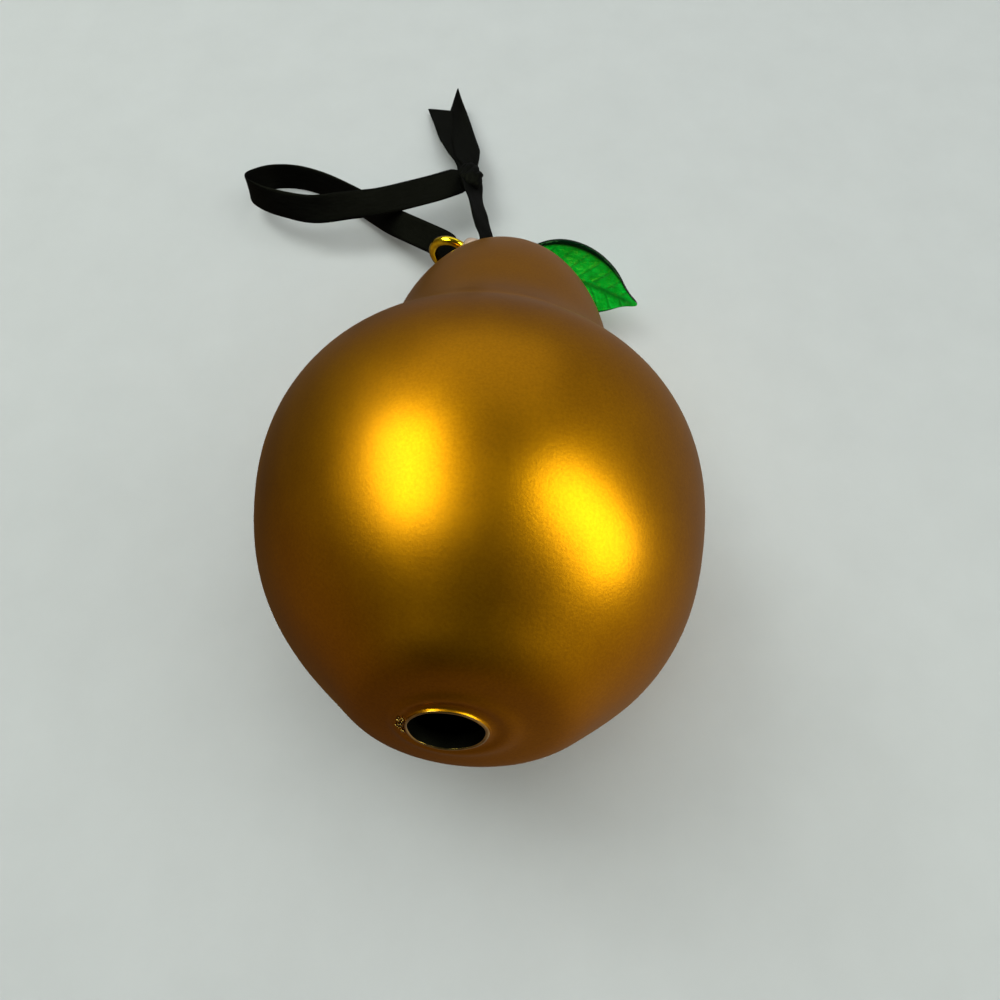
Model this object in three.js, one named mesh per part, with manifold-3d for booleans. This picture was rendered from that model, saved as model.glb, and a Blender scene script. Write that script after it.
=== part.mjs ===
// A hollow blown-glass pear ornament, lying on its side as it does when put down on a table.
// Millimetres, +Z up, the table is Z = 0. The pear's axis lies in the YZ plane: the open base faces -Y
// and is tilted up, the crown with its stem, leaf, gold loop and ribbon is at +Y.
import * as THREE from 'three';
import { mergeVertices } from 'three/addons/utils/BufferGeometryUtils.js';
import Module from 'manifold-3d';

const wasm = await Module();
wasm.setup();

// ---- driving dimensions -------------------------------------------------------------------------

// Pear body: distance along the axis from the base, then outside radius.
const bodyOutline = [
  [0.83, 9.1], [1.5, 13.7], [4.9, 18.8], [11, 25.4], [20, 31.6], [30, 34.8], [40, 36], [50, 34.1],
  [60, 28.4], [70, 23.9], [78, 22.5], [86, 21.4], [93.5, 19.4], [99.8, 16.7], [104.5, 13.1], [107.4, 8.2],
  [108.6, 0],
];
const bodyLength = bodyOutline[bodyOutline.length - 1][0];
const wallThickness = 1.3;
const axisTilt = THREE.MathUtils.degToRad(18.85);
const axisStart = new THREE.Vector3(0, -54.8, 47.85);

// The belly leans a little to +X, its end less so, and the opening sits a little to -X of the middle.
const bellyLean = 2.4;
const bellyLeanReach = 43;
const endLean = -1.6;
const endLeanReach = 14;
const openingShift = 2.5;
const openingShiftRadius = 12.5;

// Rolled lip round the opening, with a shallow groove outside it.
const lipHoleRadius = 5.1;
const lipBeadRadius = 0.4;
const lipHeight = 0.1;
const grooveRadius = 6.6;
const grooveDepth = 0.65;

const aroundBody = 48;
const bodyStations = 36;

// Stem: a short glass stub that leaves the crown along the axis and curves to -X and up.
const stemTip = new THREE.Vector3(-8.5, 54.8, 16);
const stemRootRadius = 2.1;
const stemTipRadius = 2.9;
const stemReach = 4.5;
const touchGap = 0.3;

// Gold loop threaded through the end of the stem.
const loopCentre = new THREE.Vector3(-13.7, 55.8, 13);
const loopAxis = new THREE.Vector3(-0.205, -0.978, 0.033).normalize();
const loopRadius = 4.35;
const loopWireRadius = 1.05;

// Leaf: from the stem to a small rounded tip at +X.
const leafRoot = new THREE.Vector3(0.4, 53.2, 14);
const leafTip = new THREE.Vector3(30.4, 48.7, 8.1);
const leafSide = new THREE.Vector3(0, 0.5, 0.866);
const leafHalfWidth = 8.7;
const leafHalfThickness = 1.1;
const leafArch = 1.6;
const leafCup = 1.2;
const leafEdge = 0.9;

// Satin ribbon, 6.5 mm wide and folded flat: a plain tube of about the same section area.
const ribbonTubeRadius = 0.8;
const ribbonStep = 4;
const knotCentre = new THREE.Vector3(-12, 84.5, 9.5);
const knotHalf = new THREE.Vector3(3, 3.6, 2.4);

// Through the loop, out to -X, round the end of the hanging loop and back over itself to the knot.
const longStrand = [
  [-14, 56.6, 12.6], [-15.5, 60.5, 10.8], [-19.5, 64, 9], [-26, 68.5, 7.3], [-32.5, 73, 5.6],
  [-39, 78, 4.2], [-45.5, 82.5, 3.4], [-53.5, 86.5, 2.7], [-60.5, 88, 2.6], [-66, 87.5, 3.2],
  [-69, 84, 4.6], [-69.5, 80, 6.4], [-66.5, 76, 8.2], [-62, 72.5, 9.5], [-56.5, 70.5, 10.2],
  [-49, 70.5, 10.4], [-41.5, 71.5, 10.6], [-34.5, 73, 10.8], [-27.5, 75.5, 10.8], [-20.5, 79, 10.4],
  [-16.2, 81.8, 10],
];
// Through the loop the other way, under its lowest point and up behind the crown to the knot.
const shortStrand = [
  [-13.2, 54.9, 12.2], [-12.6, 52.6, 9.4], [-11.4, 54, 6], [-8.6, 58, 6.6], [-6.4, 62, 8.8],
  [-6.8, 66.5, 10.2], [-8.5, 71, 10.8], [-9.7, 75.5, 10.6], [-10.9, 80, 10.1],
];
const rightTail = [
  [-12.6, 89.2, 8.8], [-14, 96, 7.2], [-16.5, 105, 5.2], [-18.5, 115, 3.4], [-19.5, 124.5, 2.2],
];
const leftTail = [[-14, 88.8, 8], [-17, 98, 5.6], [-20.5, 107.5, 3.9], [-23.5, 115, 2.8]];

// ---- shared helpers -----------------------------------------------------------------------------

function named(name, geometry, color, roughness, metalness) {
  const material = new THREE.MeshStandardMaterial({ color, roughness, metalness });
  const mesh = new THREE.Mesh(geometry, material);
  mesh.name = name;
  return mesh;
}

// Moves every vertex of a geometry by a function of its position.
function reshape(geometry, move) {
  const position = geometry.attributes.position;
  const point = new THREE.Vector3();
  for (let i = 0; i < position.count; i += 1) {
    point.fromBufferAttribute(position, i);
    move(point);
    position.setXYZ(i, point.x, point.y, point.z);
  }
  return geometry;
}

function toSolid(geometry) {
  const bare = geometry.clone();
  bare.deleteAttribute('normal');
  bare.deleteAttribute('uv');
  const merged = mergeVertices(bare, 1e-4);
  const mesh = new wasm.Mesh({
    numProp: 3,
    vertProperties: new Float32Array(merged.attributes.position.array),
    triVerts: new Uint32Array(merged.index.array),
  });
  return new wasm.Manifold(mesh);
}

function toGeometry(solid) {
  const mesh = solid.getMesh();
  const geometry = new THREE.BufferGeometry();
  geometry.setAttribute('position', new THREE.BufferAttribute(new Float32Array(mesh.vertProperties), 3));
  geometry.setIndex(new THREE.BufferAttribute(new Uint32Array(mesh.triVerts), 1));
  return geometry;
}

const points3 = (list) => list.map((place) => new THREE.Vector3(...place));

// ---- pear body ----------------------------------------------------------------------------------

// Outline points run from the groove over the belly to the crown; x is the radius, y the distance.
function outerOutline() {
  const shape = [[grooveDepth, grooveRadius], ...bodyOutline];
  const curve = new THREE.SplineCurve(shape.map(([along, radius]) => new THREE.Vector2(radius, along)));
  return curve.getSpacedPoints(bodyStations);
}

// The inside follows the outside at the wall thickness, measured square to the outline.
function innerOutline(outer) {
  const inner = [];
  for (let i = 2; i < outer.length - 1; i += 2) {
    const along = outer[i + 1].clone().sub(outer[i - 1]).normalize();
    const inward = new THREE.Vector2(-along.y, along.x);
    inner.push(outer[i].clone().addScaledVector(inward, wallThickness));
  }
  inner.push(new THREE.Vector2(0, bodyLength - wallThickness));
  return inner;
}

// Half circle of the rolled lip, from its inside round the front to the groove.
function lipOutline() {
  const bead = [];
  const centre = new THREE.Vector2(lipHoleRadius + lipBeadRadius, lipHeight);
  for (let i = 0; i <= 6; i += 1) {
    const turn = Math.PI - Math.PI * (i / 6);
    const x = centre.x + lipBeadRadius * Math.cos(turn);
    const y = centre.y - lipBeadRadius * Math.sin(turn);
    bead.push(new THREE.Vector2(x, y));
  }
  return bead;
}

function leanAt(along, radius) {
  const belly = Math.max(0, (bellyLeanReach - along) / bellyLeanReach);
  const end = Math.max(0, (endLeanReach - along) / endLeanReach);
  const mouth = along < bellyLeanReach ? Math.max(0, 1 - (radius / openingShiftRadius) ** 2) : 0;
  return bellyLean * belly ** 2 + endLean * end ** 2 - openingShift * mouth ** 1.5;
}

// Outside and inside are one lathe profile joined by the lip, so the shell is closed but hollow.
function pearBody() {
  const outer = outerOutline();
  const inner = innerOutline(outer).reverse();
  const neckOfLip = new THREE.Vector2(lipHoleRadius, wallThickness + grooveDepth);
  const profile = [...inner, neckOfLip, ...lipOutline(), ...outer];
  const geometry = new THREE.LatheGeometry(profile, aroundBody, Math.PI / aroundBody);
  reshape(geometry, (point) => {
    point.x += leanAt(point.y, Math.hypot(point.x, point.z));
  });
  geometry.rotateX(-axisTilt);
  geometry.translate(axisStart.x, axisStart.y, axisStart.z);
  // Where belly and neck meet the table the glass is flat, so that the pear lies still.
  return reshape(geometry, (point) => {
    point.z = Math.max(0, point.z);
  });
}

// ---- stem and gold loop -------------------------------------------------------------------------

function hangingLoop(extraRadius) {
  const geometry = new THREE.TorusGeometry(loopRadius, loopWireRadius + extraRadius, 10, 28);
  const turn = new THREE.Quaternion().setFromUnitVectors(new THREE.Vector3(0, 0, 1), loopAxis);
  geometry.applyQuaternion(turn);
  geometry.translate(loopCentre.x, loopCentre.y, loopCentre.z);
  return geometry;
}

function stem() {
  const axis = new THREE.Vector3(0, Math.cos(axisTilt), -Math.sin(axisTilt));
  const root = axisStart.clone().addScaledVector(axis, bodyLength + touchGap);
  const bend = root.clone().addScaledVector(axis, stemReach);
  const path = new THREE.QuadraticBezierCurve3(root, bend, stemTip);
  const outline = [[0, 0], [stemRootRadius * 0.9, 0], [stemRootRadius, 0.06], [2, 0.45], [2.4, 0.75],
    [stemTipRadius, 0.95], [2.2, 1.12], [1.1, 1.2], [0, 1.22]];
  const profile = outline.map(([radius, share]) => new THREE.Vector2(radius, share));
  const geometry = new THREE.LatheGeometry(profile, 16);
  const up = new THREE.Vector3(1, 0, 0);
  reshape(geometry, (point) => {
    const share = Math.min(1, point.y);
    const heading = path.getTangent(share);
    const side = new THREE.Vector3().crossVectors(heading, up).normalize();
    const front = new THREE.Vector3().crossVectors(side, heading);
    const beyond = (point.y - share) * path.getLength();
    const place = path.getPoint(share).addScaledVector(heading, beyond);
    place.addScaledVector(front, point.x).addScaledVector(side, -point.z);
    point.copy(place);
  });
  return toGeometry(toSolid(geometry).subtract(toSolid(hangingLoop(touchGap))));
}

// ---- leaf ---------------------------------------------------------------------------------------

// A sphere drawn out between root and tip: flat across, cupped to the front and arched along.
function leaf() {
  const geometry = new THREE.SphereGeometry(1, 20, 28);
  const length = leafRoot.distanceTo(leafTip);
  const along = leafTip.clone().sub(leafRoot).normalize();
  const side = leafSide.clone().addScaledVector(along, -leafSide.dot(along)).normalize();
  const front = new THREE.Vector3().crossVectors(along, side);
  return reshape(geometry, (point) => {
    const share = Math.acos(THREE.MathUtils.clamp(-point.y, -1, 1)) / Math.PI;
    const ring = Math.hypot(point.x, point.z);
    const across = ring > 1e-6 ? point.x / ring : 0;
    const through = ring > 1e-6 ? -point.z / ring : 0;
    const roundEnd = Math.sqrt(Math.max(0, 1 - (2 * share - 1) ** 12));
    const blade = leafHalfWidth * Math.sin(Math.PI * share ** 0.8) ** 0.85;
    const width = Math.hypot(blade, leafEdge) * roundEnd * across;
    const rise = leafArch * Math.sin(Math.PI * share);
    const cup = leafCup * (width / leafHalfWidth) ** 2;
    point.copy(leafRoot).addScaledVector(along, length * share);
    point.addScaledVector(side, width + rise);
    point.addScaledVector(front, leafHalfThickness * roundEnd * through + cup);
  });
}

// ---- ribbon -------------------------------------------------------------------------------------

function ribbonTube(list) {
  const path = new THREE.CatmullRomCurve3(points3(list), false, 'centripetal');
  const section = new THREE.Shape();
  for (let i = 0; i < 8; i += 1) {
    const turn = (Math.PI / 4) * i;
    const x = ribbonTubeRadius * Math.cos(turn);
    const y = ribbonTubeRadius * Math.sin(turn);
    if (i === 0) section.moveTo(x, y);
    else section.lineTo(x, y);
  }
  section.closePath();
  const steps = Math.ceil(path.getLength() / ribbonStep);
  return new THREE.ExtrudeGeometry(section, { steps, extrudePath: path, bevelEnabled: false });
}

function ribbonKnot() {
  const geometry = new THREE.SphereGeometry(1, 14, 10);
  geometry.scale(knotHalf.x, knotHalf.y, knotHalf.z);
  geometry.translate(knotCentre.x, knotCentre.y, knotCentre.z);
  return geometry;
}

// ---- the whole ornament -------------------------------------------------------------------------

const satinGold = [0xb87a12, 0.42, 0.85];
const polishedGold = [0xd9a520, 0.15, 1];
const greenGlass = [0x0d9a3c, 0.12, 0];
const blackSatin = [0x0c0c0d, 0.5, 0];

const ornament = new THREE.Group();
ornament.add(named('pear_body', pearBody(), ...satinGold));
ornament.add(named('stem', stem(), ...satinGold));
ornament.add(named('leaf', leaf(), ...greenGlass));
ornament.add(named('hanging_loop', hangingLoop(0), ...polishedGold));
ornament.add(named('ribbon_long_strand', ribbonTube(longStrand), ...blackSatin));
ornament.add(named('ribbon_short_strand', ribbonTube(shortStrand), ...blackSatin));
ornament.add(named('ribbon_knot', ribbonKnot(), ...blackSatin));
ornament.add(named('ribbon_right_tail', ribbonTube(rightTail), ...blackSatin));
ornament.add(named('ribbon_left_tail', ribbonTube(leftTail), ...blackSatin));

export default ornament;
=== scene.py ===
import bmesh, bpy, math
import numpy as np
from mathutils import Matrix, Vector


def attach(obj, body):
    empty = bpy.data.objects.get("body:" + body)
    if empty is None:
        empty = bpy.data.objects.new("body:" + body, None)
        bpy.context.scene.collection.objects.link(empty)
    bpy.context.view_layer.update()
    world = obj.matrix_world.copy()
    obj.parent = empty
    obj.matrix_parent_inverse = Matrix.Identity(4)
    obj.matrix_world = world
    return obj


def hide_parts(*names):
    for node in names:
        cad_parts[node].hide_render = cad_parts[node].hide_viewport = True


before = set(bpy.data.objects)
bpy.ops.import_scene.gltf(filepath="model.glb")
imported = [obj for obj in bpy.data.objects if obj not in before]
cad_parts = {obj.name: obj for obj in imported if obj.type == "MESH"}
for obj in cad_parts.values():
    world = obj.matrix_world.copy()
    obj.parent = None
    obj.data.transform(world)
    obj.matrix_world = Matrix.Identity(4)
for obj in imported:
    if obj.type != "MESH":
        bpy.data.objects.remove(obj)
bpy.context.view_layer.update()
mm = 0.001


def naturalSpline(points, count, chordPower=0.75, finer=4):
    # a natural cubic spline through the points
    points = np.array(points, float)
    chord = np.concatenate([[0], np.cumsum(np.linalg.norm(np.diff(points, axis=0), axis=1) ** chordPower)])
    gap = np.diff(chord)
    n = len(points)
    matrix = np.eye(n)
    right = np.zeros_like(points)
    for i in range(1, n - 1):
        matrix[i, i - 1:i + 2] = [gap[i - 1], 2 * (gap[i - 1] + gap[i]), gap[i]]
        right[i] = 6 * ((points[i + 1] - points[i]) / gap[i] - (points[i] - points[i - 1]) / gap[i - 1])
    bend = np.linalg.solve(matrix, right)
    where = np.linspace(0, chord[-1], count * finer)
    k = np.clip(np.searchsorted(chord, where, side="right") - 1, 0, n - 2)
    h = gap[k][:, None]
    a = (chord[k + 1] - where)[:, None] / h
    b = (where - chord[k])[:, None] / h
    curve = a * points[k] + b * points[k + 1]
    curve += ((a ** 3 - a) * bend[k] + (b ** 3 - b) * bend[k + 1]) * h ** 2 / 6
    # then spaced evenly along the curve itself
    length = np.concatenate([[0], np.cumsum(np.linalg.norm(np.diff(curve, axis=0), axis=1))])
    even = np.linspace(0, length[-1], count)
    return np.stack([np.interp(even, length, curve[:, i]) for i in range(curve.shape[1])], axis=1)


def curveLength(points):
    return float(np.linalg.norm(np.diff(np.array(points), axis=0), axis=1).sum())


def unit(v):
    v = np.array(v, float)
    return v / np.maximum(np.linalg.norm(v, axis=-1, keepdims=True), 1e-12)


def smoothStep(low, high, x):
    t = np.clip((x - low) / (high - low), 0, 1)
    return t * t * (3 - 2 * t)


def addMesh(name, vertices, faces, materials, faceMaterial=None, uv=None):
    mesh = bpy.data.meshes.new(name)
    mesh.from_pydata([tuple(v) for v in vertices], [], faces)
    for material in materials:
        mesh.materials.append(material)
    if faceMaterial is not None:
        mesh.polygons.foreach_set("material_index", np.array(faceMaterial, dtype=np.int32))
    mesh.polygons.foreach_set("use_smooth", [True] * len(mesh.polygons))
    if uv is not None:
        layer = mesh.uv_layers.new(name="UVMap")
        corners = np.empty(len(mesh.loops), dtype=np.int32)
        mesh.loops.foreach_get("vertex_index", corners)
        layer.data.foreach_set("uv", np.array(uv, float)[corners].ravel())
    mesh.validate()
    mesh.update()
    piece = bpy.data.objects.new(name, mesh)
    bpy.context.scene.collection.objects.link(piece)
    return piece


def addAttribute(piece, name, values):
    layer = piece.data.attributes.new(name, "FLOAT", "POINT")
    layer.data.foreach_set("value", np.array(values, dtype=np.float32))


def gridFaces(rows, columns):
    faces = []
    for i in range(rows - 1):
        for j in range(columns):
            k = (j + 1) % columns
            faces.append((i * columns + j, i * columns + k, (i + 1) * columns + k, (i + 1) * columns + j))
    return faces


def tubeFaces(rows, columns):
    # a closed tube: its grid and its two ends
    faces = gridFaces(rows, columns)
    faces.append(tuple(reversed(range(columns))))
    faces.append(tuple(range((rows - 1) * columns, rows * columns)))
    return faces


def outward(piece):
    work = bmesh.new()
    work.from_mesh(piece.data)
    bmesh.ops.recalc_face_normals(work, faces=work.faces)
    if work.calc_volume(signed=True) < 0:
        bmesh.ops.reverse_faces(work, faces=work.faces)
    work.to_mesh(piece.data)
    work.free()


cameraPlan = {
    "place": (0.006888, -0.0664, 0.14995),
    "turn": (math.radians(23.96), 0, math.radians(4.29)),
    "lens": 27.04, "film": 36, "nearest": 0.005,
}
cameraData = bpy.data.cameras.new("camera")
cameraData.sensor_width = cameraPlan["film"]
cameraData.lens = cameraPlan["lens"]
cameraData.clip_start = cameraPlan["nearest"]
camera = bpy.data.objects.new("camera", cameraData)
camera.location = cameraPlan["place"]
camera.rotation_euler = cameraPlan["turn"]
bpy.context.scene.collection.objects.link(camera)
bpy.context.scene.camera = camera
bpy.context.scene.view_settings.view_transform = "Standard"
print("camera placed")


class NodeBench:
    # short calls for wiring one material's nodes
    def __init__(self, name, shaderValues):
        self.material = bpy.data.materials.new(name)
        self.material.use_nodes = True
        self.tree = self.material.node_tree
        self.shader = self.tree.nodes["Principled BSDF"]
        for key, value in shaderValues.items():
            self.shader.inputs[key].default_value = value

    def add(self, kind, values=None, **settings):
        node = self.tree.nodes.new(kind)
        for key, value in settings.items():
            setattr(node, key, value)
        for key, value in (values or {}).items():
            node.inputs[key].default_value = value
        return node

    def join(self, source, output, target, socket):
        self.tree.links.new(source.outputs[output], target.inputs[socket])

    def place(self):
        return self.add("ShaderNodeTexCoord")

    def noise(self, source, output, scale, detail=4, rough=0.6, stretch=None):
        if stretch:
            mapping = self.add("ShaderNodeMapping")
            mapping.inputs["Scale"].default_value = stretch
            self.join(source, output, mapping, "Vector")
            source, output = mapping, "Vector"
        node = self.add("ShaderNodeTexNoise", {"Scale": scale, "Detail": detail, "Roughness": rough})
        self.join(source, output, node, "Vector")
        return node

    def ramp(self, source, output, stops):
        node = self.add("ShaderNodeValToRGB")
        elements = node.color_ramp.elements
        while len(elements) < len(stops):
            elements.new(0.5)
        for element, (position, color) in zip(elements, stops):
            element.position = position
            element.color = (*color, 1)
        self.join(source, output, node, "Fac")
        return node

    def mix(self, factor, first, second, blend="MIX"):
        # factor, first and second are (node, output) pairs or plain values
        node = self.add("ShaderNodeMix", data_type="RGBA", blend_type=blend)
        for socket, value in ((0, factor), (6, first), (7, second)):
            if isinstance(value, tuple) and isinstance(value[0], bpy.types.Node):
                self.tree.links.new(value[0].outputs[value[1]], node.inputs[socket])
            elif socket == 0:
                node.inputs[0].default_value = value
            else:
                node.inputs[socket].default_value = (*value, 1)
        return (node, 2)

    def math(self, operation, first, second=None, third=None):
        node = self.add("ShaderNodeMath", operation=operation)
        for i, value in enumerate((first, second, third)):
            if isinstance(value, tuple):
                self.tree.links.new(value[0].outputs[value[1]], node.inputs[i])
            elif value is not None:
                node.inputs[i].default_value = value
        return (node, 0)

    def feed(self, pair, socket):
        self.tree.links.new(pair[0].outputs[pair[1]], self.shader.inputs[socket])

    def spread(self, pair, socket, span, least):
        # the shader's value runs from the least over the span, as the texture does from 0 to 1
        self.feed(self.math("MULTIPLY_ADD", pair, span, least), socket)

    def bump(self, pair, strength, distance, under=None):
        node = self.add("ShaderNodeBump", {"Strength": strength, "Distance": distance})
        self.tree.links.new(pair[0].outputs[pair[1]], node.inputs["Height"])
        if under is not None:
            self.tree.links.new(under.outputs["Normal"], node.inputs["Normal"])
        self.tree.links.new(node.outputs["Normal"], self.shader.inputs["Normal"])
        return node


# In these dictionaries a tone is a ramp of (position, colour), a scale is in cells to the metre, rough is
# (span, least) and a bump is (strength, distance in metres).
satinGoldPlan = {
    "shader": {"Metallic": 1, "Specular Tint": (0.75, 0.68, 0.7, 1)},
    "cloudScale": 22, "tone": [(0.38, (0.27, 0.108, 0.003)), (0.66, (0.34, 0.143, 0.0012))],
    "grainScale": 2600, "grainTone": [(0.3, (0.9, 0.88, 0.86)), (0.7, (1.08, 1.08, 1.08))],
    "speckScale": 420, "speckEdge": [(0.0, (1, 1, 1)), (0.055, (0, 0, 0))],
    "speckShare": [(0.86, (0, 0, 0)), (0.88, (1, 1, 1))], "speckColor": (0.03, 0.012, 0.003),
    "streakScale": 90, "streakStretch": (1, 0.25, 1), "rough": (0.12, 0.31),
    "grainBump": (0.22, 0.00006), "cloudBump": (0.12, 0.0006),
}


def makeSatinGold():
    plan = satinGoldPlan
    bench = NodeBench("satinGoldLacquer", plan["shader"])
    where = bench.place()
    cloud = bench.noise(where, "Object", plan["cloudScale"])
    grain = bench.noise(where, "Object", plan["grainScale"], detail=2)
    streak = bench.noise(where, "Object", plan["streakScale"], stretch=plan["streakStretch"])
    tone = bench.ramp(cloud, "Fac", plan["tone"])
    speck = bench.add("ShaderNodeTexVoronoi", {"Scale": plan["speckScale"], "Randomness": 1})
    bench.join(where, "Object", speck, "Vector")
    edge = bench.ramp(speck, "Distance", plan["speckEdge"])
    few = bench.ramp(speck, "Color", plan["speckShare"])
    dots = bench.math("MULTIPLY", (edge, 0), (few, 0))
    color = bench.mix(dots, (tone, 0), plan["speckColor"])
    grainTone = bench.ramp(grain, "Fac", plan["grainTone"])
    bench.feed(bench.mix(1.0, color, (grainTone, 0), "MULTIPLY"), "Base Color")
    bench.spread((streak, 0), "Roughness", *plan["rough"])
    fine = bench.bump((grain, 0), *plan["grainBump"])
    bench.bump((cloud, 0), *plan["cloudBump"], fine)
    return bench.material


stemGlassPlan = {
    "shader": {"Coat Weight": 0.4, "Coat Roughness": 0.15}, "scale": 300,
    "bare": [(0.3, (0.36, 0.24, 0.17)), (0.7, (0.55, 0.42, 0.32))],
    "gold": [(0.3, (0.2, 0.085, 0.006)), (0.7, (0.3, 0.13, 0.01))],
    "raggedness": 0.5, "goldReach": 0.25, "edge": [(0.42, (0, 0, 0)), (0.58, (1, 1, 1))],
    "metal": (-0.8, 0.9), "rough": (0.25, 0.3), "bump": (0.3, 0.0002),
}


def makeStemGlass():
    # lacquered at the crown, bare pinkish glass towards the tip
    plan = stemGlassPlan
    bench = NodeBench("bareStemGlass", plan["shader"])
    where = bench.place()
    tip = bench.add("ShaderNodeAttribute", attribute_name="tip")
    cloud = bench.noise(where, "Object", plan["scale"])
    bare = bench.ramp(cloud, "Fac", plan["bare"])
    gold = bench.ramp(cloud, "Fac", plan["gold"])
    bareShare = bench.math("SUBTRACT", (tip, 2), plan["goldReach"])
    edge = bench.math("MULTIPLY_ADD", (cloud, 0), plan["raggedness"], bareShare)
    mask = bench.ramp(*edge, plan["edge"])
    bench.feed(bench.mix((mask, 0), (gold, 0), (bare, 0)), "Base Color")
    bench.spread((mask, 0), "Metallic", *plan["metal"])
    bench.spread((cloud, 0), "Roughness", *plan["rough"])
    bench.bump((cloud, 0), *plan["bump"])
    return bench.material


# These three differ only in their numbers: one noise drives the tone, the roughness and the bump.
lipGlossPlan = {
    "shader": {"Metallic": 1, "Coat Weight": 0.5, "Coat Roughness": 0.05},
    "noise": {"scale": 260, "detail": 3}, "tone": [(0.35, (0.17, 0.095, 0.02)), (0.7, (0.5, 0.34, 0.12))],
    "rough": (0.2, 0.12), "bump": (0.25, 0.0002),
}
# inside the hollow: the near-black tone is painted shade of the recess, and its paler stretched streaks are
# painted glints
hollowPaintedShadePlan = {
    "shader": {"Specular IOR Level": 0.03},
    "noise": {"scale": 120, "detail": 5, "rough": 0.62, "stretch": (1, 0.2, 1)},
    "tone": [(0.58, (0.0006, 0.0005, 0.0004)), (0.8, (0.02, 0.016, 0.01))],
    "rough": (0.3, 0.45), "bump": (0.2, 0.0004),
}
polishedGoldPlan = {
    "shader": {"Metallic": 1},
    "noise": {"scale": 500}, "tone": [(0.35, (0.56, 0.33, 0.008)), (0.65, (0.95, 0.72, 0.03))],
    "rough": (0.22, 0.04), "bump": (0.18, 0.0002),
}


def makeClouded(name, plan):
    bench = NodeBench(name, plan["shader"])
    cloud = bench.noise(bench.place(), "Object", **plan["noise"])
    bench.feed((bench.ramp(cloud, "Fac", plan["tone"]), 0), "Base Color")
    bench.spread((cloud, 0), "Roughness", *plan["rough"])
    bench.bump((cloud, 0), *plan["bump"])
    return bench.material


greenGlassPlan = {
    "shader": {"Specular Tint": (0.12, 1, 0.25, 1), "Coat Roughness": 0.05, "Coat IOR": 1.5},
    "cloudScale": 150, "tone": [(0.34, (0.0001, 0.4, 0.014)), (0.64, (0.0002, 0.84, 0.055))],
    "veinPaintedShadeColor": (0.0004, 0.24, 0.016), "rimPaintedShadeColor": (0.0006, 0.012, 0.004),
    "coat": (-0.3, 0.33), "gloss": (-0.44, 0.5), "rough": (0.2, 0.1),
    "rippleScale": 520, "rippleBump": (0.4, 0.0004), "cloudBump": (0.8, 0.0016),
}


def makeGreenGlass():
    plan = greenGlassPlan
    bench = NodeBench("emeraldGlass", plan["shader"])
    where = bench.place()
    cloud = bench.noise(where, "Object", plan["cloudScale"])
    ripple = bench.noise(where, "Object", plan["rippleScale"], detail=3)
    rim = bench.add("ShaderNodeAttribute", attribute_name="rim")
    vein = bench.add("ShaderNodeAttribute", attribute_name="vein")
    tone = bench.ramp(cloud, "Fac", plan["tone"])
    # darker green along the vein mask: painted shade in the pressed grooves
    color = bench.mix((vein, 2), (tone, 0), plan["veinPaintedShadeColor"])
    # the rim colour is near black: painted shade of the thick glass edge
    bench.feed(bench.mix((rim, 2), color, plan["rimPaintedShadeColor"]), "Base Color")
    bench.spread((rim, 2), "Coat Weight", *plan["coat"])
    bench.spread((rim, 2), "Specular IOR Level", *plan["gloss"])
    bench.spread((cloud, 0), "Roughness", *plan["rough"])
    fine = bench.bump((ripple, 0), *plan["rippleBump"])
    wavy = bench.bump((cloud, 0), *plan["cloudBump"], fine)
    bench.join(wavy, "Normal", bench.shader, "Coat Normal")
    return bench.material


# The ribbon's own map is in millimetres across and along, and so are threads, picks and the slub's scale.
blackSatinPlan = {
    "shader": {"Specular IOR Level": 0.022},
    "threads": 0.28, "picks": 0.2, "pickHeight": 0.35,
    "slubScale": 0.9, "slubStretch": (3, 0.25, 1),
    "tone": [(0.3, (0.0006, 0.0007, 0.0007)), (0.75, (0.0026, 0.0029, 0.0028))],
    "rough": (0.25, 0.42), "slubBump": (0.2, 0.0002), "weaveBump": (0.3, 0.00004),
}


def makeBlackSatin():
    plan = blackSatinPlan
    bench = NodeBench("blackSatinWeave", plan["shader"])
    where = bench.place()
    split = bench.add("ShaderNodeSeparateXYZ")
    bench.join(where, "UV", split, "Vector")
    warp = bench.math("SINE", bench.math("MULTIPLY", (split, 0), 2 * math.pi / plan["threads"]))
    weft = bench.math("SINE", bench.math("MULTIPLY", (split, 1), 2 * math.pi / plan["picks"]))
    weave = bench.math("MULTIPLY_ADD", weft, plan["pickHeight"], warp)
    slub = bench.noise(where, "UV", plan["slubScale"], stretch=plan["slubStretch"])
    bench.feed((bench.ramp(slub, "Fac", plan["tone"]), 0), "Base Color")
    bench.spread((slub, 0), "Roughness", *plan["rough"])
    under = bench.bump((slub, 0), *plan["slubBump"])
    bench.bump(weave, *plan["weaveBump"], under)
    return bench.material


satinGold = makeSatinGold()
lipGloss = makeClouded("rolledLipGlass", lipGlossPlan)
stemGlass = makeStemGlass()
hollowPaintedShade = makeClouded("insideGlassPaintedShade", hollowPaintedShadePlan)
greenGlass = makeGreenGlass()
polishedGold = makeClouded("polishedGold", polishedGoldPlan)
blackSatin = makeBlackSatin()
print("materials made")

# what both bands of the ribbon share, in mm
ribbon = {
    "width": 6.6, "thick": 0.34, "selvedge": 0.5, "selvedgeFrom": 0.86, "selvedgeFull": 0.97,
    "edgeRound": 24, "edgeLeast": 0.15,
    "fold": 0.8, "foldWaves": 2.6, "bow": 0.22, "bowWaves": 47, "cutFrom": 0.86,
    "step": 0.8, "across": 14, "measured": 200,
}
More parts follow.
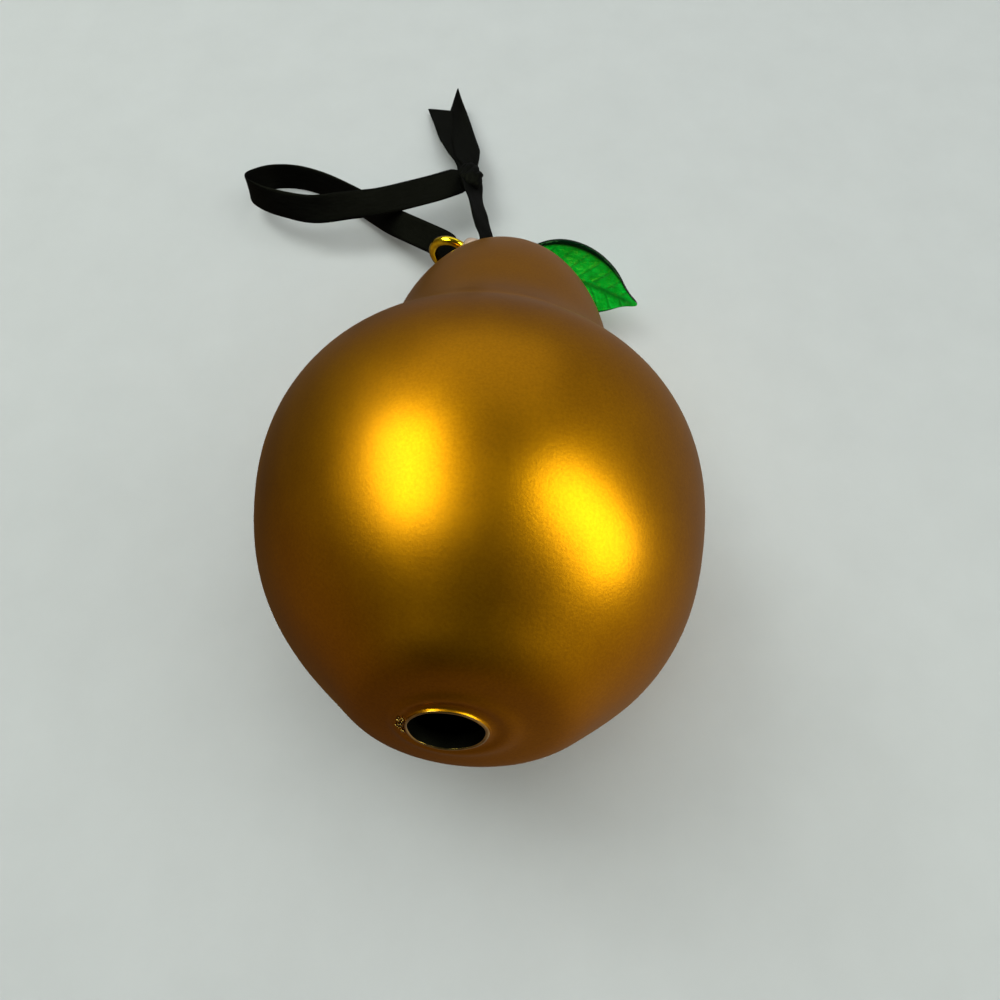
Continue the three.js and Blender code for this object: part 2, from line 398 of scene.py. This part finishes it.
# A route is a row of places in mm. Facing is the direction in which the width lies at some of them, gather
# the share of the width that is left along the way, and cut how far the end slants.
longRibbon = {
    "route": [
        (-13.6, 55.2, 12.5), (-14.2, 57.2, 12.2), (-15.7, 60.4, 10.8), (-19.5, 64, 9), (-26, 68.5, 7.3),
        (-32.5, 73, 5.8), (-39, 78, 4.8), (-45.5, 82.3, 4.2), (-53, 85.8, 3.8), (-59.4, 87.3, 3.7),
        (-64.3, 86.4, 4.2), (-67.1, 83.3, 5.6), (-68.3, 79.5, 7.2), (-65.8, 75.8, 8.7), (-61.4, 72.8, 9.6),
        (-56.2, 70.9, 10.2), (-49, 70, 10.4), (-41.5, 71.5, 10.6), (-34.5, 73, 10.8), (-27.5, 75.5, 10.8),
        (-20.5, 79, 10.4), (-16.2, 81.8, 10), (-12.8, 84.6, 9.7), (-12.4, 89.2, 8.8), (-14, 96, 7.2),
        (-16.6, 105, 5.4), (-18.7, 113.5, 3.9), (-20.3, 120.6, 3.1),
    ],
    "facing": {
        0: (-0.75, -0.1, -0.65), 2: (-0.6, -0.5, -0.62), 4: (-0.37, -0.72, -0.59), 6: (0.04, -0.6, -0.8),
        8: (0.04, -0.3, -0.95), 11: (0.04, -0.22, -0.97), 15: (0.04, -0.46, -0.89), 18: (0.07, -0.85, -0.5),
        20: (0.07, -0.91, -0.41),
        21: (0.2, -0.9, -0.4), 22: (0.6, -0.6, -0.2), 23: (1, 0.1, 0.1), 25: (0.9, 0.2, 0.35),
        26: (0.68, 0.2, 0.68), 27: (0.45, 0.2, 0.87),
    },
    "gather": [(0, 0.72), (0.03, 1), (0.765, 1), (0.79, 0.6), (0.805, 0.55), (0.84, 1), (1, 1)],
    "cut": 3, "pathStop": -2,  # the cord's middle line ends where the slanting cut begins
}
shortRibbon = {
    "route": [
        (-13.6, 55.2, 12.5), (-13.2, 53.4, 11), (-12.4, 52.7, 9), (-11.2, 54.2, 6.4), (-8.6, 58, 6.6),
        (-6.4, 62, 8.8), (-6.8, 66.5, 10.2), (-8.5, 71, 10.8), (-9.7, 75.5, 10.6), (-10.9, 80, 10.1),
        (-12.2, 84.8, 9.2), (-13.9, 89, 8), (-17, 98, 5.4), (-20.5, 108.5, 3.4), (-24.1, 118.9, 1.9),
    ],
    "facing": {
        0: (-0.75, -0.1, -0.65), 2: (-0.9, -0.1, 0.3), 4: (-0.8, 0.3, 0.2), 5: (-0.4, -0.3, 0.85),
        6: (-0.58, -0.35, 0.72), 8: (-0.55, -0.35, 0.75), 9: (-0.6, -0.3, 0.7), 11: (-1, -0.2, 0.2),
        14: (-0.95, -0.3, -0.1),
    },
    "gather": [(0, 0.72), (0.06, 0.85), (0.3, 1), (0.52, 1), (0.6, 0.55), (0.66, 0.55), (0.78, 1), (1, 1)],
    "cut": 4.4, "pathStop": -3,
}


def ribbonBand(name, plan):
    # a flat woven band that follows its route, with a thicker edge on each side and a slanting cut end
    route = np.array(plan["route"], float)
    count = int(curveLength(naturalSpline(route, ribbon["measured"])) / ribbon["step"]) + 1
    centre = naturalSpline(route, count)
    rows = sorted(plan["facing"])
    share = np.concatenate([[0], np.cumsum(np.linalg.norm(np.diff(route, axis=0), axis=1))])
    share /= share[-1]
    where = np.linspace(0, 1, count)
    turns = np.array([plan["facing"][row] for row in rows], float)
    facing = np.stack([np.interp(where, share[rows], turns[:, i]) for i in range(3)], axis=1)
    heading = unit(np.gradient(centre, axis=0))
    side = unit(facing - (facing * heading).sum(1)[:, None] * heading)
    up = np.cross(side, heading)
    gather = np.interp(where, [g[0] for g in plan["gather"]], [g[1] for g in plan["gather"]])
    total = curveLength(centre)
    half = ribbon["width"] / 2
    n = ribbon["across"]
    u = np.linspace(-1, 1, n)
    edge = smoothStep(ribbon["selvedgeFrom"], ribbon["selvedgeFull"], np.abs(u))
    thick = (ribbon["thick"] + (ribbon["selvedge"] - ribbon["thick"]) * edge) / 2
    thick *= np.sqrt(np.clip(1 - np.abs(u) ** ribbon["edgeRound"], 0, 1)) + ribbon["edgeLeast"]
    loop = [(u[i], thick[i]) for i in range(n)] + [(u[i], -thick[i]) for i in reversed(range(n))]
    vertices, uv = [], []
    for k in range(count):
        pinch = gather[k]
        fold = (1 - pinch) * ribbon["fold"]
        bow = ribbon["bow"] * math.sin(where[k] * ribbon["bowWaves"])
        slant = plan["cut"] / 2 * smoothStep(ribbon["cutFrom"], 1, where[k])
        for a, t in loop:
            lift = t + fold * math.cos(a * ribbon["foldWaves"] * math.pi) + bow * a * a
            spot = centre[k] + side[k] * half * pinch * a + up[k] * lift - heading[k] * slant * (1 - a)
            vertices.append(spot * mm)
            uv.append((a * half, where[k] * total))
    piece = addMesh(name, vertices, tubeFaces(count, len(loop)), [blackSatin], uv=uv)
    outward(piece)
    return piece, centre * mm


longBand, longLine = ribbonBand("ribbon_long_band", longRibbon)
shortBand, shortLine = ribbonBand("ribbon_short_band", shortRibbon)
print("ribbon laid", round(curveLength(longLine), 4), round(curveLength(shortLine), 4))

knotPlan = {
    "centre": (-12, 84.3, 9.5), "axis": (-0.18, 0.97, -0.13), "half": (2.9, 4.3, 2.4), "bluntness": 0.62,
    "creases": 0.2, "creaseWaves": 3.5, "creaseStart": 0.6, "creaseSoftness": 0.6,
    "creaseMiddle": 0.6, "slant": 1.1,
    "ridge": 0.12, "ridgeAlong": 1.6, "ridgeSwing": 0.7, "ridgeWidth": 0.35,
    "map": (2.4, 3.3), "rows": 60, "around": 90,
}


def ribbonKnot():
    # the gathered wrap of the knot: a crowned form with slanting creases that run into the strands
    plan = knotPlan
    rows, around = plan["rows"], plan["around"]
    axis = unit(plan["axis"])
    side = unit(np.cross(axis, (0, 0, 1)))
    up = np.cross(side, axis)
    centre = np.array(plan["centre"])
    vertices, uv = [], []
    for i in range(rows):
        polar = math.pi * (0.5 + i) / rows
        for j in range(around):
            turn = 2 * math.pi * j / around
            slant = turn + plan["slant"] * math.cos(polar)
            wave = abs(math.sin(slant * plan["creaseWaves"] + plan["creaseStart"]))
            crease = wave ** plan["creaseSoftness"] - plan["creaseMiddle"]
            crease *= plan["creases"] * math.sin(polar)
            off = math.cos(polar) * plan["ridgeAlong"] + plan["ridgeSwing"] * math.sin(turn)
            ridge = plan["ridge"] * math.exp(-(off / plan["ridgeWidth"]) ** 2)
            size = math.sin(polar) ** plan["bluntness"] * (1 + crease + ridge)
            spot = centre + side * plan["half"][0] * size * math.cos(turn)
            spot = spot + up * plan["half"][2] * size * math.sin(turn)
            spot = spot + axis * plan["half"][1] * math.cos(polar)
            vertices.append(spot * mm)
            uv.append((turn * plan["map"][0], polar * plan["map"][1]))
    piece = addMesh("ribbon_knot_wrap", vertices, tubeFaces(rows, around), [blackSatin], uv=uv)
    outward(piece)
    return piece


knot = ribbonKnot()
for piece, nodes in (
    (longBand, ("ribbon_long_strand", "ribbon_right_tail")),
    (shortBand, ("ribbon_short_strand", "ribbon_left_tail")),
    (knot, ("ribbon_knot",)),
):
    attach(piece, "root")
    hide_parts(*nodes)

# The pear lies on its side: its axis starts at the open base and tilts down towards the crown.
# Lengths are in mm, and the outline and the groove are rows of (along, radius).
pear = {
    "outline": [
        (0.83, 9.1), (1.5, 13.7), (4.9, 18.8), (11, 25.4), (20, 31.6), (30, 34.8), (40, 36), (50, 34.1),
        (60, 28.4), (70, 23.9), (78, 22.5), (86, 21.4), (93.5, 19.4), (99.8, 16.7), (104.5, 13.1),
        (107.4, 8.2), (108.6, 0),
    ],
    "groove": [(0.42, 5.74), (0.56, 6.2), (0.54, 6.8), (0.46, 7.5), (0.6, 8.3)],
    "tilt": math.radians(18.85), "start": (0, -54.8, 47.85),
    "wall": 1.3, "insideFrom": 2.6, "insideClear": 0.4,
    # how far the middle of the glass sits to +X at the belly, at the end and at the mouth
    "bellyLean": 2.4, "bellyLeanReach": 43, "endLean": -1.6, "endLeanReach": 14,
    "mouthShift": -2.5, "mouthShiftRadius": 12.5,
    # the rolled lip: its hole, its bead, its throat as (along, beyond the hole) and its ripples as
    # (height, waves, start)
    "lipHole": 5.1, "lipBead": 0.26, "lipHeight": 0.22, "beadSteps": 12,
    "throat": [(2.4, 0.25), (1.8, 0), (0.9, 0)], "lipRipples": [(0.05, 3, 0.8), (0.03, 7, 0)],
    "lipRings": 3, "hollowRings": 5,
    "chips": {
        "count": 26, "turn": math.radians(177), "spread": 0.16, "reach": (5.9, 7.1), "size": (0.14, 0.36),
        "along": 0.42, "leanAlong": 0.4, "seed": 5,
    },
    "around": 240, "stations": 160, "grooveStations": 34, "insideStations": 60,
    "fine": 1500, "fineGroove": 60,
}


def leanAt(along, radius):
    belly = max(0, 1 - along / pear["bellyLeanReach"])
    end = max(0, 1 - along / pear["endLeanReach"])
    mouth = max(0, 1 - (radius / pear["mouthShiftRadius"]) ** 2) if belly > 0 else 0
    return pear["bellyLean"] * belly ** 2 + pear["endLean"] * end ** 2 + pear["mouthShift"] * mouth ** 1.5


def inPlace(local):
    # local x, up and along of the lying pear, brought to its place in the frame
    cosTilt, sinTilt = math.cos(pear["tilt"]), math.sin(pear["tilt"])
    axis = np.array([0, cosTilt, -sinTilt])
    over = np.array([0, sinTilt, cosTilt])
    start = np.array(pear["start"], float)
    return start + local[:, :1] * np.array([1, 0, 0]) + local[:, 1:2] * over + local[:, 2:3] * axis


def lipChips(first):
    # crumbs of broken glass on one side of the lip, each a small crooked wedge
    plan = pear["chips"]
    chance = np.random.default_rng(plan["seed"])
    wedge = np.array([[1, 1, 1], [1, -1, -1], [-1, 1, -1], [-1, -1, 1]])
    spots, faces = [], []
    for i in range(plan["count"]):
        turn = plan["turn"] + chance.normal(0, plan["spread"])
        radius = chance.uniform(*plan["reach"])
        size = chance.uniform(*plan["size"])
        lean = leanAt(plan["leanAlong"], radius)
        middle = np.array([radius * math.cos(turn) + lean, radius * math.sin(turn), plan["along"]])
        corners = unit(chance.normal(0, 1, (4, 3)) + wedge)
        spots.append(middle + corners * size)
        base = first + 4 * i
        faces += [(base, base + 1, base + 2), (base, base + 3, base + 1), (base, base + 2, base + 3),
                  (base + 1, base + 3, base + 2)]
    return np.vstack(spots), faces


def bodyShell():
    plan = pear
    fine = naturalSpline(plan["groove"] + plan["outline"], plan["fine"])
    close = np.linspace(0, plan["fineGroove"], plan["grooveStations"], endpoint=False)
    wide = np.linspace(plan["fineGroove"], plan["fine"] - 1, plan["stations"])
    outer = fine[np.concatenate([close, wide]).astype(int)]
    outer[-1, 1] = 0
    slope = unit(np.gradient(outer, axis=0))
    inner = outer + np.stack([slope[:, 1], -slope[:, 0]], axis=1) * plan["wall"]
    inner = inner[(inner[:, 1] > plan["lipHole"] + plan["insideClear"]) & (inner[:, 0] > plan["insideFrom"])]
    pick = np.linspace(0, len(inner) - 1, plan["insideStations"]).astype(int)
    inner = np.vstack([[plan["outline"][-1][0] - plan["wall"], 0], inner[pick][::-1]])
    bead = [(along, plan["lipHole"] + beyond) for along, beyond in plan["throat"]]
    centre = plan["lipHole"] + plan["lipBead"]
    for i in range(plan["beadSteps"] + 1):
        turn = math.pi * i / plan["beadSteps"]
        along = plan["lipHeight"] - plan["lipBead"] * math.sin(turn)
        bead.append((along, centre - plan["lipBead"] * math.cos(turn)))
    profile = np.vstack([inner, bead, outer])
    firstOuter = len(inner) + len(bead)
    around = plan["around"]
    turn = 2 * np.pi * (np.arange(around) + 0.5) / around
    rows = len(profile)
    vertices = []
    for k in range(1, rows - 1):
        along, radius = profile[k]
        ring = np.full(around, radius)
        if len(inner) <= k < firstOuter:
            for height, waves, begin in plan["lipRipples"]:
                ring = ring + height * np.sin(turn * waves + begin)
        x = ring * np.cos(turn) + leanAt(along, radius)
        vertices.append(np.stack([x, ring * np.sin(turn), np.full(around, along)], axis=1))
    poles = np.array([[0, 0, profile[0][0]], [0, 0, profile[-1][0]]])
    placed = inPlace(np.vstack(vertices + [poles]))
    placed[:, 2] = np.maximum(placed[:, 2], 0)  # the flats on which it lies
    outside, lip, hollow = 0, 1, 2  # the material's place in the list below
    faces = gridFaces(rows - 2, around)
    tag = []
    for i in range(1, rows - 2):
        if i >= firstOuter - plan["lipRings"]:
            tag += [outside] * around
        elif i < len(inner) + plan["hollowRings"]:
            tag += [hollow] * around
        else:
            tag += [lip] * around
    insidePole, tipPole = len(placed) - 2, len(placed) - 1
    last = (rows - 3) * around
    for j in range(around):
        k = (j + 1) % around
        faces += [(insidePole, k, j), (last + j, last + k, tipPole)]
        tag += [hollow, outside]
    chips, chipFaces = lipChips(len(placed))
    placed = np.vstack([placed, inPlace(chips)])
    faces += chipFaces
    tag += [lip] * len(chipFaces)
    piece = addMesh("pear_glass", placed * mm, faces, [satinGold, lipGloss, hollowPaintedShade], tag)
    outward(piece)
    return piece


body = bodyShell()
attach(body, "root")
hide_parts("pear_body")
print("glass body made", len(body.data.polygons))


# The outline is a row of (radius in mm, share of the way from the crown to the tip).
stemPlan = {
    "tip": (-8.5, 54.8, 16), "reach": 4.5, "gap": 0.3,
    "outline": [
        (0, -0.2), (1.6, -0.2), (3.3, -0.12), (2.9, -0.02), (2.3, 0.1), (2.0, 0.3), (2.05, 0.5), (2.4, 0.72),
        (2.85, 0.92), (2.75, 1.04), (2.1, 1.16), (1.2, 1.21), (0, 1.22),
    ],
    "stretch": 10, "sideHint": (1, 0, 0.01), "thinnest": 0.02,
    "swell": 0.05, "swellWaves": 3, "swellTwist": 9, "ripple": 0.03, "rippleWaves": 5,
    "around": 48, "stations": 60, "measured": 40,
}


def glassStem():
    plan = stemPlan
    tilt = pear["tilt"]
    axis = np.array([0, math.cos(tilt), -math.sin(tilt)])
    root = np.array(pear["start"], float) + axis * (pear["outline"][-1][0] + plan["gap"])
    bend = root + axis * plan["reach"]
    tip = np.array(plan["tip"], float)

    def onArc(t):
        return (1 - t) ** 2 * root + 2 * t * (1 - t) * bend + t * t * tip

    profile = naturalSpline([(r, s * plan["stretch"]) for r, s in plan["outline"]], plan["stations"])
    profile[:, 1] /= plan["stretch"]
    chord = curveLength([onArc(t) for t in np.linspace(0, 1, plan["measured"])])
    vertices = []
    for radius, share in profile[1:-1]:
        t = min(1, max(0, share))
        heading = unit(2 * (1 - t) * (bend - root) + 2 * t * (tip - bend))
        side = unit(np.cross(heading, plan["sideHint"]))
        front = np.cross(side, heading)
        place = onArc(t) + heading * (share - t) * chord
        for j in range(plan["around"]):
            turn = 2 * math.pi * j / plan["around"]
            swell = plan["swell"] * math.sin(turn * plan["swellWaves"] + share * plan["swellTwist"])
            swell += plan["ripple"] * math.sin(turn * plan["rippleWaves"])
            swell = max(plan["thinnest"], radius) * (1 + swell)
            vertices.append(place + front * swell * math.cos(turn) + side * swell * math.sin(turn))
    ring = plan["around"]
    piece = addMesh("stem_glass", np.array(vertices) * mm, tubeFaces(len(profile) - 2, ring), [stemGlass])
    outward(piece)
    addAttribute(piece, "tip", np.clip(np.repeat(profile[1:-1, 1], ring), 0, 1))
    return piece


stem = glassStem()
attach(stem, "root")
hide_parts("stem")
print("stem made")


loopPlan = {
    "centre": (-13.7, 55.8, 13), "axis": (-0.205, -0.978, 0.033), "radius": 4.35, "wire": 1.05,
    "around": 120, "aroundWire": 32,
}


def addSocket(tree, name, kind, value):
    socket = tree.interface.new_socket(name=name, in_out="INPUT", socket_type=kind)
    socket.default_value = value
    return socket


def goldRing():
    # a wire bent along a circle: both sizes are inputs of the modifier
    plan = loopPlan
    tree = bpy.data.node_groups.new("wireRing", "GeometryNodeTree")
    ringSocket = addSocket(tree, "ringRadius", "NodeSocketFloat", plan["radius"] * mm)
    wireSocket = addSocket(tree, "wireRadius", "NodeSocketFloat", plan["wire"] * mm)
    tree.interface.new_socket(name="geometry", in_out="OUTPUT", socket_type="NodeSocketGeometry")
    nodes, links = tree.nodes, tree.links
    inputs = nodes.new("NodeGroupInput")
    outputs = nodes.new("NodeGroupOutput")
    circle = nodes.new("GeometryNodeCurvePrimitiveCircle")
    circle.inputs["Resolution"].default_value = plan["around"]
    section = nodes.new("GeometryNodeCurvePrimitiveCircle")
    section.inputs["Resolution"].default_value = plan["aroundWire"]
    sweep = nodes.new("GeometryNodeCurveToMesh")
    shift = nodes.new("GeometryNodeTransform")
    turn = Vector((0, 0, 1)).rotation_difference(Vector(plan["axis"]).normalized()).to_euler()
    shift.inputs["Translation"].default_value = [value * mm for value in plan["centre"]]
    shift.inputs["Rotation"].default_value = turn
    smooth = nodes.new("GeometryNodeSetShadeSmooth")
    real = nodes.new("GeometryNodeRealizeInstances")
    paint = nodes.new("GeometryNodeSetMaterial")
    paint.inputs["Material"].default_value = polishedGold
    links.new(inputs.outputs["ringRadius"], circle.inputs["Radius"])
    links.new(inputs.outputs["wireRadius"], section.inputs["Radius"])
    links.new(circle.outputs["Curve"], sweep.inputs["Curve"])
    links.new(section.outputs["Curve"], sweep.inputs["Profile Curve"])
    links.new(sweep.outputs["Mesh"], shift.inputs["Geometry"])
    for before, after in ((shift, smooth), (smooth, real), (real, paint)):
        links.new(before.outputs["Geometry"], after.inputs["Geometry"])
    links.new(paint.outputs["Geometry"], outputs.inputs[0])
    return bakeTree("gold_loop", tree, {ringSocket: plan["radius"] * mm, wireSocket: plan["wire"] * mm})


def bakeTree(name, tree, values):
    # runs the tree on an empty mesh and keeps the result as a plain mesh at the origin
    carrier = bpy.data.objects.new(name + "_carrier", bpy.data.meshes.new(name + "_carrier"))
    bpy.context.scene.collection.objects.link(carrier)
    modifier = carrier.modifiers.new("tree", "NODES")
    modifier.node_group = tree
    for socket, value in values.items():
        modifier[socket.identifier] = value
    bpy.context.view_layer.update()
    ready = carrier.evaluated_get(bpy.context.evaluated_depsgraph_get())
    mesh = bpy.data.meshes.new_from_object(ready)
    mesh.name = name
    bpy.data.objects.remove(carrier)
    piece = bpy.data.objects.new(name, mesh)
    bpy.context.scene.collection.objects.link(piece)
    return piece


goldLoop = goldRing()
outward(goldLoop)
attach(goldLoop, "root")
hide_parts("hanging_loop")
print("gold loop made", len(goldLoop.data.polygons))


# Lengths are in mm; what ends in Power shapes a curve, and a reach is a share of the leaf's length or width.
leafPlan = {
    "root": (0.4, 53.2, 14), "tip": (30.4, 48.7, 8.1), "side": (0, 0.5, 0.866),
    "stalk": (-2.1, -0.8, -0.9), "stalkReach": 0.05,  # how far the root is drawn out into the stem
    "halfWidth": 8.7, "bladePower": 0.85, "widestPower": 0.8,
    "slim": 0.07, "slimReach": (0.1, 0.5), "pinch": 0.42, "pinchAt": 0.95, "pinchReach": 0.11,
    "halfThickness": 1.1, "arch": 1.6, "cup": 1.2, "edge": 0.9, "endPower": 12,
    "acrossPower": 0.9, "thickPower": 0.55, "flatness": 0.8,
    "veinGap": 3.7, "veinWidth": 0.3, "veinDepth": 0.2, "veinSlope": 0.95, "veinBend": 0.03,
    "veinReach": 0.86, "veinFadePower": 10, "veinShare": 0.75, "midribWidth": 0.62,
    "markFrom": (0.03, 0.12), "markTo": (0.88, 0.97),
    "rim": 0.5, "rimFrom": 0.8, "rimFull": (0.9, 0.98), "rimReach": (0.02, 0.1),
    "backShare": 0.5, "reliefPower": 0.3,
    "around": 168, "stations": 190,
}


def pressedLeaf():
    plan = leafPlan
    root, tip = np.array(plan["root"]), np.array(plan["tip"])
    length = np.linalg.norm(tip - root)
    along = unit(tip - root)
    side = np.array(plan["side"], float)
    side = unit(side - (side @ along) * along)
    front = np.cross(along, side)
    around, rows = plan["around"], plan["stations"]
    stalk = np.array(plan["stalk"])
    vertices, rim, vein = [], [], []
    for i in range(rows):
        t = 0.5 - 0.5 * math.cos(math.pi * (i + 0.5) / rows)
        roundEnd = math.sqrt(max(0, 1 - (2 * t - 1) ** plan["endPower"]))
        blade = plan["halfWidth"] * math.sin(math.pi * t ** plan["widestPower"]) ** plan["bladePower"]
        blade *= 1 - plan["slim"] * smoothStep(*plan["slimReach"], t)
        blade *= 1 - plan["pinch"] * math.exp(-((t - plan["pinchAt"]) / plan["pinchReach"]) ** 2)
        half = math.hypot(blade, plan["edge"]) * roundEnd
        rise = plan["arch"] * math.sin(math.pi * t)
        shown = smoothStep(*plan["markFrom"], t) * (1 - smoothStep(*plan["markTo"], t))
        drawn = stalk * (1 - smoothStep(0, plan["stalkReach"], t))
        for j in range(around):
            turn = 2 * math.pi * (j + 0.5) / around
            across, through = math.cos(turn), math.sin(turn)
            across = math.copysign(abs(across) ** plan["acrossPower"], across)
            thick = math.copysign(abs(through) ** plan["thickPower"], through)
            width = half * across
            cup = plan["cup"] * (width / plan["halfWidth"]) ** 2
            # veins leave the midrib and bend towards the tip
            run = t * length - plan["veinSlope"] * abs(width) + plan["veinBend"] * width * width
            cell = (run / plan["veinGap"] + 0.5) % 1 - 0.5
            sideVein = math.exp(-((cell * plan["veinGap"] / plan["veinWidth"]) ** 2))
            sideVein *= math.exp(-((abs(across) / plan["veinReach"]) ** plan["veinFadePower"]))
            midrib = math.exp(-((width / plan["midribWidth"]) ** 2))
            # this vein mask also places the painted shade of the grooves
            mark = max(midrib, plan["veinShare"] * sideVein) * shown
            # this border also masks the painted shade along the thick edge
            rimFull = plan["rimFull"][0] if across > 0 else plan["rimFull"][1]
            border = smoothStep(plan["rimFrom"], rimFull, abs(across)) * smoothStep(*plan["rimReach"], t)
            lift = plan["rim"] * border - plan["veinDepth"] * mark
            lift *= abs(through) ** plan["reliefPower"] * roundEnd
            if through <= 0:
                lift *= plan["backShare"]
            level = plan["halfThickness"] * roundEnd * thick * plan["flatness"]
            level += math.copysign(lift, through)
            spot = root + along * length * t + side * (width + rise) + front * (level + cup) + drawn
            vertices.append(spot * mm)
            rim.append(border)
            vein.append(mark)
    piece = addMesh("leaf_glass", vertices, tubeFaces(rows, around), [greenGlass])
    outward(piece)
    addAttribute(piece, "rim", rim)
    addAttribute(piece, "vein", vein)
    return piece


leaf = pressedLeaf()
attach(leaf, "root")
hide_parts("leaf")
print("leaf made")


studio = {
    "floorColor": (0.56, 0.61, 0.602), "floorReach": 3, "mottle": 0.02, "mottleScale": 60,
    "floorShader": {"Roughness": 0.75, "Specular IOR Level": 0.2}, "floorBump": (0.03, 0.001),
    "aim": (0.0, -0.02, 0.05),
    # the first three are seen only in the gloss of the glass, the others light only matt surfaces
    "lights": {
        "leftWindow": {
            "toward": (-0.56, 0.10, 0.82), "long": (-0.05, -0.96, 0.25), "distance": 0.9,
            "sizes": (0.8, 0.45), "power": 13.6, "gloss": True, "color": (1, 1.1, 0.6),
        },
        "rightWindow": {
            "toward": (0.78, -0.08, 0.59), "long": (0.37, -0.45, -0.65), "distance": 0.9,
            "sizes": (0.88, 0.44), "power": 14, "gloss": True, "color": (1, 1.1, 0.6),
        },
        "farWall": {
            "toward": (0.0, 0.8, 0.6), "long": (1, 0, 0), "distance": 0.9,
            "sizes": (0.8, 0.45), "power": 1.2, "gloss": True, "color": (1, 1.1, 0.8),
        },
        "ceiling": {
            "toward": (0, 0.1, 1), "long": (1, 0, 0), "distance": 1.4,
            "sizes": (1.7, 1.7), "power": 16.8, "gloss": False, "color": (1, 1, 1),
        },
        "leftSoft": {
            "toward": (-0.56, 0.3, 0.76), "long": (0, 1, 0), "distance": 0.9,
            "sizes": (0.4, 0.4), "power": 2.0, "gloss": False, "color": (1, 1, 1),
        },
        "rightSoft": {
            "toward": (0.75, 0.0, 0.66), "long": (0, 1, 0), "distance": 0.9,
            "sizes": (0.5, 0.5), "power": 1.2, "gloss": False, "color": (1, 1, 1),
        },
    },
    "roomBase": (0.032, 0.027, 0.022),
    # direction, colour that the room gains there, and how narrow that patch is
    "roomPatches": [
        ((1, 0.1, -0.2), (0.32, 0.31, 0.3), 1.5), ((0, 1, 0.1), (0.37, 0.37, 0.37), 2),
        ((0.78, -0.58, -0.2), (0.28, 0.23, 0.15), 5), ((0.5, -0.5, -0.67), (0.2, 0.15, 0.08), 4),
        ((-0.88, -0.4, -0.25), (0.27, 0.19, 0.1), 5), ((-0.1, -0.7, -0.7), (0.1, 0.06, 0.03), 4),
    ],
}


def paleFloor():
    bench = NodeBench("paleFloor", studio["floorShader"])
    mottle = bench.noise(bench.place(), "Object", studio["mottleScale"])
    darker = tuple(part * (1 - studio["mottle"]) for part in studio["floorColor"])
    lighter = tuple(part * (1 + studio["mottle"]) for part in studio["floorColor"])
    bench.feed((bench.ramp(mottle, "Fac", [(0.3, darker), (0.7, lighter)]), 0), "Base Color")
    bench.bump((mottle, 0), *studio["floorBump"])
    size = studio["floorReach"]
    corners = [(-size, -size, 0), (size, -size, 0), (size, size, 0), (-size, size, 0)]
    floor = addMesh("floor", corners, [(0, 1, 2, 3)], [bench.material])
    floor.visible_glossy = False


def softLight(name, plan):
    data = bpy.data.lights.new(name, "AREA")
    data.shape = "RECTANGLE"
    data.size, data.size_y = plan["sizes"]
    data.energy = plan["power"]
    data.color = plan["color"]
    light = bpy.data.objects.new(name, data)
    direction = Vector(plan["toward"]).normalized()
    light.location = Vector(studio["aim"]) + direction * plan["distance"]
    across = direction.cross(Vector(plan["long"])).normalized()
    along = across.cross(direction)
    light.rotation_euler = Matrix((along, across, direction)).transposed().to_euler()
    light.visible_diffuse = not plan["gloss"]
    light.visible_glossy = plan["gloss"]
    bpy.context.scene.collection.objects.link(light)


def surroundings():
    # a dim room, lighter in a few soft patches
    world = bpy.data.worlds.new("softRoom")
    bpy.context.scene.world = world
    world.use_nodes = True
    nodes, links = world.node_tree.nodes, world.node_tree.links
    back = nodes["Background"]
    where = nodes.new("ShaderNodeTexCoord")
    total = None
    for direction, color, narrow in studio["roomPatches"]:
        dot = nodes.new("ShaderNodeVectorMath")
        dot.operation = "DOT_PRODUCT"
        dot.inputs[1].default_value = Vector(direction).normalized()
        links.new(where.outputs["Generated"], dot.inputs[0])
        clip = nodes.new("ShaderNodeMath")
        clip.operation = "MAXIMUM"
        clip.inputs[1].default_value = 0
        links.new(dot.outputs["Value"], clip.inputs[0])
        power = nodes.new("ShaderNodeMath")
        power.operation = "POWER"
        power.inputs[1].default_value = narrow
        links.new(clip.outputs[0], power.inputs[0])
        add = nodes.new("ShaderNodeVectorMath")
        add.operation = "MULTIPLY_ADD"
        add.inputs[1].default_value = color
        add.inputs[2].default_value = studio["roomBase"]
        links.new(power.outputs[0], add.inputs[0])
        if total is not None:
            links.new(total.outputs[0], add.inputs[2])
        total = add
    links.new(total.outputs[0], back.inputs["Color"])


paleFloor()
for name, plan in studio["lights"].items():
    softLight(name, plan)
surroundings()
print("floor and lights placed")
